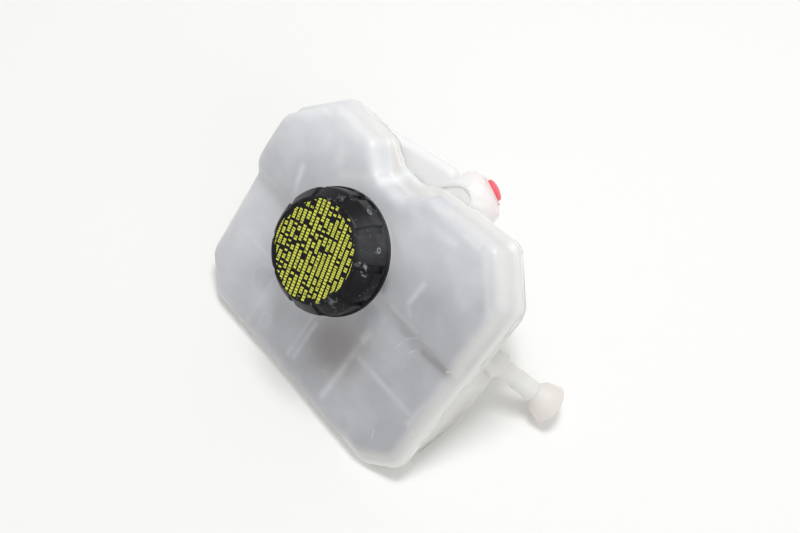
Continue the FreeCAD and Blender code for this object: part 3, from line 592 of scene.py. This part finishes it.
paints = dict(
    upper_shell=tankTop(),
    lower_shell=tankBottom(),
    flash=weldFlash(),
    cap=capBlack(),
    rubber=plainPlastic("blackRubber", (0.015, 0.015, 0.015), (0.03, 0.03, 0.03), 0.62),
    inner_plastic=plainPlastic("innerPlastic", (0.66, 0.66, 0.63), (0.78, 0.78, 0.76), 0.42),
    mesh=meshCloth(),
    foam=plainPlastic("floatFoam", (0.06, 0.055, 0.05), (0.13, 0.12, 0.11), 0.8, 400.0, 2600.0),
    magnet=plainPlastic("magnetBlack", (0.05, 0.05, 0.055), (0.10, 0.10, 0.11), 0.5, 300.0),
    plug=plainPlastic("plugRed", (0.80, 0.075, 0.10), (0.90, 0.12, 0.15), 0.26),
    sensor=plainPlastic("sensorBlack", (0.02, 0.02, 0.021), (0.035, 0.035, 0.037), 0.45),
    reed_glass=plainPlastic("reedGlass", (0.55, 0.68, 0.60), (0.66, 0.78, 0.70), 0.12),
    contact_metal=contactMetal(),
)
slots = {part["node"]: part["material_slot"] for part in frame["record"]["subparts"]}
for name, piece in frame["nodes"].items():
    for slot in piece.material_slots:
        slot.material = paints[slots[name]]
print("materials made:", len(paints))


# The tank's own outline at the seam, read from the CAD node by rays towards its middle
outlineShape = dict(middle=(3.0, -8.0), height=-0.8, rays=720, start=140.0)


def tankOutline():
    # for each turn round the tank's middle, how far out the flange's edge is, in tank mm
    o = outlineShape
    body = nodeMesh("lower_shell")
    tree = BVHTree.FromBMesh(body)
    body.free()
    angles = np.arange(o["rays"]) * (2 * math.pi / o["rays"])
    middle = Vector(onTank((*o["middle"], o["height"])))
    reach = []
    for angle in angles:
        way = Vector((math.cos(angle), math.sin(angle), 0.0))
        hit = tree.ray_cast(middle + way * o["start"] * mm, -way)[0]
        reach.append((hit - middle).length / mm)
    return angles, np.array(reach)


outlineAngles, outlineReach = tankOutline()
print("outline read, from", round(outlineReach.min(), 1), "to", round(outlineReach.max(), 1), "mm out")


# The upper shell is the CAD node as an even net of small faces, with its mould's soft edges and the
# unevenness of a thin moulding
shellShape = dict(
    voxel=0.85 * mm, evenPasses=6, softPasses=14,
    keepBelow=(0.9, 2.4), keepNeck=(24.0, 27.0),    # the flange and the neck keep their edges
    deckFacing=(0.3, 0.8), deckAbove=(3.0, 5.0),
    sag=0.35, sagInside=(5.0, 14.0), ribSink=0.22, ribSinkWidth=2.0,
)
lowerSharpAngle = 32        # degrees; edges over it stay sharp in the lower shell


def evenNet(name, node, voxel):
    # a voxel copy of a CAD node, as a mesh of small even faces
    body = nodeMesh(node)
    mesh = bpy.data.meshes.new(name)
    body.to_mesh(mesh)
    body.free()
    piece = bpy.data.objects.new(name, mesh)
    bpy.context.scene.collection.objects.link(piece)
    net = piece.modifiers.new("net", "REMESH")
    net.mode, net.voxel_size = "VOXEL", voxel
    ready = piece.evaluated_get(bpy.context.evaluated_depsgraph_get())
    made = bpy.data.meshes.new_from_object(ready)
    bpy.data.objects.remove(piece)
    return made


def meshArrays(mesh):
    # corner places, edge ends and corner normals of a mesh as arrays
    points = np.empty(len(mesh.vertices) * 3)
    mesh.vertices.foreach_get("co", points)
    ends = np.empty(len(mesh.edges) * 2, dtype=np.int32)
    mesh.edges.foreach_get("vertices", ends)
    normals = np.empty(len(mesh.vertices) * 3)
    mesh.vertices.foreach_get("normal", normals)
    return points.reshape(-1, 3), ends.reshape(-1, 2), normals.reshape(-1, 3)


def relaxed(points, ends, weight, passes, push):
    # moves each point part of the way to the mean of its neighbours, again and again
    count = np.bincount(ends.ravel(), minlength=len(points))
    for each in range(passes):
        total = np.stack([np.bincount(ends[:, 0], points[ends[:, 1], k], len(points)) +
                          np.bincount(ends[:, 1], points[ends[:, 0], k], len(points))
                          for k in range(3)], -1)
        points = points + weight[:, None] * push * (total / count[:, None] - points)
    return points


def strokeDistance(x, y, a, b):
    # distance of plan points from a straight line from a to b
    run = np.subtract(b, a)
    share = np.clip(((x - a[0]) * run[0] + (y - a[1]) * run[1]) / (run @ run), 0, 1)
    return np.hypot(x - a[0] - share * run[0], y - a[1] - share * run[1])


def fromEdge(x, y):
    # how far inside the tank's outline a plan point is, measured towards the tank's middle
    dx, dy = x - outlineShape["middle"][0], y - outlineShape["middle"][1]
    turn = np.arctan2(dy, dx) % (2 * math.pi)
    return np.interp(turn, outlineAngles, outlineReach, period=2 * math.pi) - np.hypot(dx, dy)


def upperShell():
    s = shellShape
    mesh = evenNet("tankUpper", "upper_shell", s["voxel"])
    points, ends, normals = meshArrays(mesh)
    everywhere = np.ones(len(points))
    points = relaxed(points, ends, everywhere, s["evenPasses"], 0.5)
    points = relaxed(points, ends, everywhere, s["evenPasses"], -0.5)
    x, y, z = ((points - onTank((0, 0, 0))) / mm).T
    radius = np.hypot(x, y)
    # the outer skin looks up or away from the tank's middle; the inner faces aren't softened
    dx, dy = x - outlineShape["middle"][0], y - outlineShape["middle"][1]
    lateral = (normals[:, 0] * dx + normals[:, 1] * dy) / np.maximum(np.hypot(dx, dy), 1)
    skin = (normals[:, 2] > 0.1) | (lateral > 0.3)
    free = smoothStep(z, *s["keepBelow"]) * smoothStep(radius, *s["keepNeck"])
    points = relaxed(points, ends, free * skin, s["softPasses"], 0.5)
    # the deck sags and swells a little by two crossed waves, and sinks over its ribs by
    # exp(-(distance / width)^2)
    x, y, z = ((points - onTank((0, 0, 0))) / mm).T
    swell = np.sin(x / 8.3 + 0.6) * np.sin(y / 9.7 + 1.1) + 0.6 * np.sin(x / 4.9 - y / 6.1)
    deck = smoothStep(normals[:, 2], *s["deckFacing"]) * smoothStep(z, *s["deckAbove"])
    deck *= smoothStep(radius, *s["keepNeck"])
    lift = s["sag"] * 0.5 * (swell - 1.0) * deck * smoothStep(fromEdge(x, y), *s["sagInside"])
    for a, b, half, strength in deckMarks["ribs"]:
        hollow = np.exp(-(strokeDistance(x, y, a, b) / s["ribSinkWidth"]) ** 2)
        lift -= s["ribSink"] * strength * deck * hollow
    points[:, 2] += lift * mm
    mesh.vertices.foreach_set("co", np.ascontiguousarray(points, dtype=np.float32).ravel())
    edge = mesh.attributes.new("fromEdge", "FLOAT", "POINT")
    edge.data.foreach_set("value", fromEdge(x, y).astype(np.float32))
    mesh.polygons.foreach_set("use_smooth", np.ones(len(mesh.polygons), bool))
    mesh.update()
    shell = addObject("tankUpper", mesh, paints["upper_shell"])
    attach(shell, "tank")
    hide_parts("upper_shell")
    print("upper shell made:", len(mesh.polygons), "faces")


def lowerShell():
    # the lower half keeps the CAD node's faces, merged and shaded smooth over its soft edges
    body = nodeMesh("lower_shell")
    mesh = bpy.data.meshes.new("tankLower")
    body.to_mesh(mesh)
    body.free()
    mesh.polygons.foreach_set("use_smooth", np.ones(len(mesh.polygons), bool))
    mesh.set_sharp_from_angle(angle=math.radians(lowerSharpAngle))
    shell = addObject("tankLower", mesh, paints["lower_shell"])
    even = shell.modifiers.new("even", "WEIGHTED_NORMAL")
    even.keep_sharp = True
    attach(shell, "tank")
    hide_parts("lower_shell")
    print("lower shell made:", len(mesh.polygons), "faces")


# A thin bead of flash squeezed out of the weld all round the flange
flashShape = dict(height=1.3, out=0.22, sink=0.9, sides=12)


def weldBead():
    # an ellipse carried round the outline, its size rising and falling by sines of the turn
    f = flashShape
    middle = outlineShape["middle"]
    a = outlineAngles
    size = 0.75 + 0.25 * np.sin(9 * a + 0.5) * np.sin(23 * a) + 0.12 * np.sin(61 * a)
    reach = outlineReach - f["sink"]
    path = onTank(np.stack([middle[0] + reach * np.cos(a), middle[1] + reach * np.sin(a), 0 * a], -1))
    turn = np.arange(f["sides"]) * (2 * math.pi / f["sides"])
    half = np.stack([(f["out"] + f["sink"]) * np.cos(turn), f["height"] / 2 * np.sin(turn)], -1) * mm
    section = half[None] * size[:, None, None]
    bead = sweptPiece("weldBead", path, section, paints["flash"], closed=True)
    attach(bead, "tank")


upperShell()
lowerShell()
weldBead()
print("tank made")


capShape = dict(
    base=20.0, top=36.0, shoulder=29.8, rimRadius=27.0, rimTop=22.0, wallRadius=26.4, topRadius=21.8,
    bore=22.6, boreTop=30.0, seat=21.5, seatTop=33.6,
    lobes=10, firstGroove=24.0, grooveHalf=3.3, grooveSoft=1.8,     # in degrees round the cap
    grooveDepth=1.15, angles=720,
)


def screwCap():
    # the cap's section turned round its axis, with a soft-sided trough every tenth of a turn from
    # the rim to the edge of the top
    c = capShape
    corners = [(0, c["top"], 0), (c["topRadius"], c["top"], 0.9), (c["wallRadius"], c["shoulder"], 1.2),
               (c["wallRadius"], c["rimTop"], 0.25), (c["rimRadius"], c["rimTop"], 0.3),
               (c["rimRadius"], c["base"], 0.5), (c["bore"], c["base"], 0.4),
               (c["bore"], c["boreTop"], 0.2), (c["seat"], c["boreTop"], 0.2),
               (c["seat"], c["seatTop"], 0.4), (0, c["seatTop"], 0)]
    outline = divided(roundedProfile(corners), 1.2)
    angles = np.linspace(0, 2 * math.pi, c["angles"], endpoint=False)
    points = ringGrid(outline, angles)
    turn = np.degrees(angles) - c["firstGroove"]
    pitch = 360 / c["lobes"]
    offset = np.abs((turn + pitch / 2) % pitch - pitch / 2)
    foot, brink = c["grooveHalf"] - c["grooveSoft"] / 2, c["grooveHalf"] + c["grooveSoft"] / 2
    across = smoothStep(offset, brink, foot)
    radius, height = outline.T
    outside = (radius > c["topRadius"] - 1.2) & (height > c["rimTop"] + 0.1)
    upTo = np.clip((c["top"] - height) / 0.8, 0, 1) * outside
    shrink = 1 - c["grooveDepth"] * across[:, None] * upTo[None, :] / np.maximum(radius, 1.0)
    points[..., :2] *= shrink[..., None]
    rows, columns = points.shape[:2]
    mesh = meshFrom("screwCap", onTank(points.reshape(-1, 3)), gridQuads(rows, columns, True, False))
    cap = addObject("screwCap", outward(mesh), paints["cap"])
    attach(cap, "cap")
    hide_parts("filler_cap")
    print("cap made:", len(mesh.polygons), "faces")


# One thread form on the neck and one in the cap, half a pitch apart, so that they never touch
threadShape = dict(
    pitch=4.0, turns=1.4, low=22.6, capRaise=0.3, rows=240, rootHalf=0.85, crestHalf=0.40,
    neckRoot=20.9, neckCrest=21.9, capRoot=22.8, capCrest=21.75, fade=0.12,
)


def threadRidge(name, low, root, crest, body, slot):
    # a trapezoid section carried up a helix, thinned to nothing at both ends
    t = threadShape
    s = np.linspace(0, 1, t["rows"])
    a = s * t["turns"] * 2 * math.pi
    height = low + t["pitch"] * a / (2 * math.pi)
    path = onTank(np.stack([root * np.cos(a), root * np.sin(a), height], -1))
    rise, wide, narrow = crest - root, t["rootHalf"], t["crestHalf"]
    section = np.array([(0, -wide), (rise, -narrow), (rise, narrow), (0, wide)])
    full = smoothStep(np.minimum(s, 1 - s), 0, t["fade"]) * 0.98 + 0.02
    ridge = sweptPiece(name, path, section[None] * full[:, None, None] * mm, paints[slot])
    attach(ridge, body)


def threads():
    t = threadShape
    threadRidge("neckThread", t["low"], t["neckRoot"], t["neckCrest"], "tank", "upper_shell")
    capLow = t["low"] - t["pitch"] / 2 + t["capRaise"]
    threadRidge("capThread", capLow, t["capRoot"], t["capCrest"], "cap", "cap")


screwCap()
threads()
print("threads made")


plugShape = dict(
    end=(23.8, 54.0, -14.5), turn=70.8, dip=24.2,       # the boss's end and its way, in degrees
    head=4.8, rise=2.6, seat=0.8, lip=0.8, stem=3.4, stemLength=7.0, angles=96,
)


def portPlug():
    # a quarter ellipse over a short upright lip, then the stem, turned and laid on the boss's axis
    s = plugShape
    a = np.linspace(0, math.pi / 2, 18)[::-1]
    head, seat, stem, tip = s["head"], s["seat"], s["stem"], s["seat"] - s["stemLength"]
    dome = np.stack([head * np.cos(a), seat + s["lip"] + (s["rise"] - s["lip"]) * np.sin(a)], -1)
    rest = [(head, seat + 0.1), (head - 0.1, seat), (stem, seat), (stem, tip), (0, tip)]
    outline = np.concatenate([dome, rest])
    angles = np.linspace(0, 2 * math.pi, s["angles"], endpoint=False)
    points = ringGrid(outline, angles).reshape(-1, 3)
    turn, dip = math.radians(s["turn"]), math.radians(s["dip"])
    way = Vector((math.cos(turn) * math.cos(dip), math.sin(turn) * math.cos(dip), -math.sin(dip)))
    points = points @ np.array(way.to_track_quat("Z", "Y").to_matrix()).T + s["end"]
    mesh = meshFrom("redPlug", onTank(points), gridQuads(s["angles"], len(outline), True, False))
    plug = addObject("redPlug", outward(mesh), paints["plug"])
    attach(plug, "tank")
    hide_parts("port_plug")


portPlug()
print("plug made")


studio = dict(
    floorNormal=(0.0, 0.70, 0.714), floorHalf=4.0, floorColour=(0.945, 0.945, 0.935),
    floorBounce=(0.17, 0.168, 0.16),    # light that the real tank lets through to the table and back
    worldStrength=0.57, worldColour=(1.0, 1.0, 1.0),
    lamps=dict(
        keyLamp=dict(way=(-0.03, 0.795, 0.593), distance=1.3, size=0.38, power=7.6),
        fillLamp=dict(way=(0.85, 0.2, 0.35), distance=1.4, size=1.0, power=2.2),
    ),
    eye=(0.2170, 0.1968, 0.4929), right=(0.6286, 0.5557, -0.5444), up=(-0.6558, 0.7549, 0.0136),
    lens=58.5, sensor=36.0,
)


def studioFloor():
    # a plain table that the part lies on, touching its lowest corner along the table's normal;
    # from underneath it lets the view through, so that the part's other sides can be seen
    normal = Vector(studio["floorNormal"]).normalized()
    lowest = min(float((nodePoints(n) @ np.array(normal)).min()) for n in frame["nodes"])
    side = normal.cross(Vector((0, 1, 0))).normalized()
    front = normal.cross(side)
    middle = normal * (lowest - 0.02 * mm)
    half = studio["floorHalf"]
    signs = ((-1, -1), (1, -1), (1, 1), (-1, 1))
    corners = [middle + side * a * half + front * b * half for a, b in signs]
    mesh = bpy.data.meshes.new("floor")
    mesh.from_pydata([tuple(c) for c in corners], [], [(0, 1, 2, 3)])
    mesh.update()
    if mesh.polygons[0].normal.dot(normal) < 0:
        mesh.flip_normals()
    p = Paint("floorPaint", Roughness=0.9)
    p.put("Base Color", studio["floorColour"])
    bounced = p.node("ShaderNodeLightPath", {}, {}, "Is Diffuse Ray")
    p.put("Emission Color", p.mixed(bounced, (0.0, 0.0, 0.0), studio["floorBounce"]))
    p.put("Emission Strength", 1.0)
    back = p.node("ShaderNodeNewGeometry", {}, {}, "Backfacing")
    clear = p.node("ShaderNodeBsdfTransparent", {}, {})
    mix = p.node("ShaderNodeMixShader", {}, {0: back, 1: Wire(p, p.surface.outputs[0]), 2: clear})
    output = [n for n in p.tree.nodes if n.type == "OUTPUT_MATERIAL"][0]
    p.tree.links.new(mix.socket, output.inputs["Surface"])
    floor = addObject("floor", mesh, p.material)


def softLamp(name, way, distance, size, power):
    # a square lamp that stands the given way off the part's middle and looks at it
    data = bpy.data.lights.new(name, "AREA")
    data.energy, data.size = power, size
    lamp = bpy.data.objects.new(name, data)
    bpy.context.scene.collection.objects.link(lamp)
    way = Vector(way).normalized()
    middle = (cadBox[0] + cadBox[1]) / 2
    lamp.location = middle + way * distance
    lamp.rotation_euler = (-way).to_track_quat("-Z", "Y").to_euler()


def studioLight():
    # the room is white to the camera and to mirror and clear rays, and dimmer to diffuse ones
    world = bpy.data.worlds.new("softRoom")
    bpy.context.scene.world = world
    world.use_nodes = True
    tree = world.node_tree
    tree.nodes.clear()
    output = tree.nodes.new("ShaderNodeOutputWorld")
    room = tree.nodes.new("ShaderNodeBackground")
    seen = tree.nodes.new("ShaderNodeBackground")
    mix = tree.nodes.new("ShaderNodeMixShader")
    rays = tree.nodes.new("ShaderNodeLightPath")
    room.inputs[0].default_value = studio["worldColour"] + (1.0,)
    room.inputs[1].default_value = studio["worldStrength"]
    seen.inputs[0].default_value = (1.0, 1.0, 1.0, 1.0)
    white = rays.outputs["Is Camera Ray"]
    for ray in ("Is Glossy Ray", "Is Transmission Ray"):
        either = tree.nodes.new("ShaderNodeMath")
        either.operation = "MAXIMUM"
        tree.links.new(white, either.inputs[0])
        tree.links.new(rays.outputs[ray], either.inputs[1])
        white = either.outputs[0]
    tree.links.new(white, mix.inputs[0])
    tree.links.new(room.outputs[0], mix.inputs[1])
    tree.links.new(seen.outputs[0], mix.inputs[2])
    tree.links.new(mix.outputs[0], output.inputs["Surface"])
    for name, lamp in studio["lamps"].items():
        softLamp(name, **lamp)


def studioCamera():
    data = bpy.data.cameras.new("camera")
    data.lens, data.sensor_width = studio["lens"], studio["sensor"]
    data.clip_start, data.clip_end = 0.01, 20.0
    camera = bpy.data.objects.new("camera", data)
    bpy.context.scene.collection.objects.link(camera)
    right = Vector(studio["right"]).normalized()
    up = Vector(studio["up"]).normalized()
    back = right.cross(up)
    turn = Matrix((right, up, back)).transposed()
    camera.matrix_world = Matrix.Translation(studio["eye"]) @ turn.to_4x4()
    bpy.context.scene.camera = camera


studioFloor()
studioLight()
studioCamera()
bpy.context.scene.view_settings.view_transform = "Standard"
print("studio made")
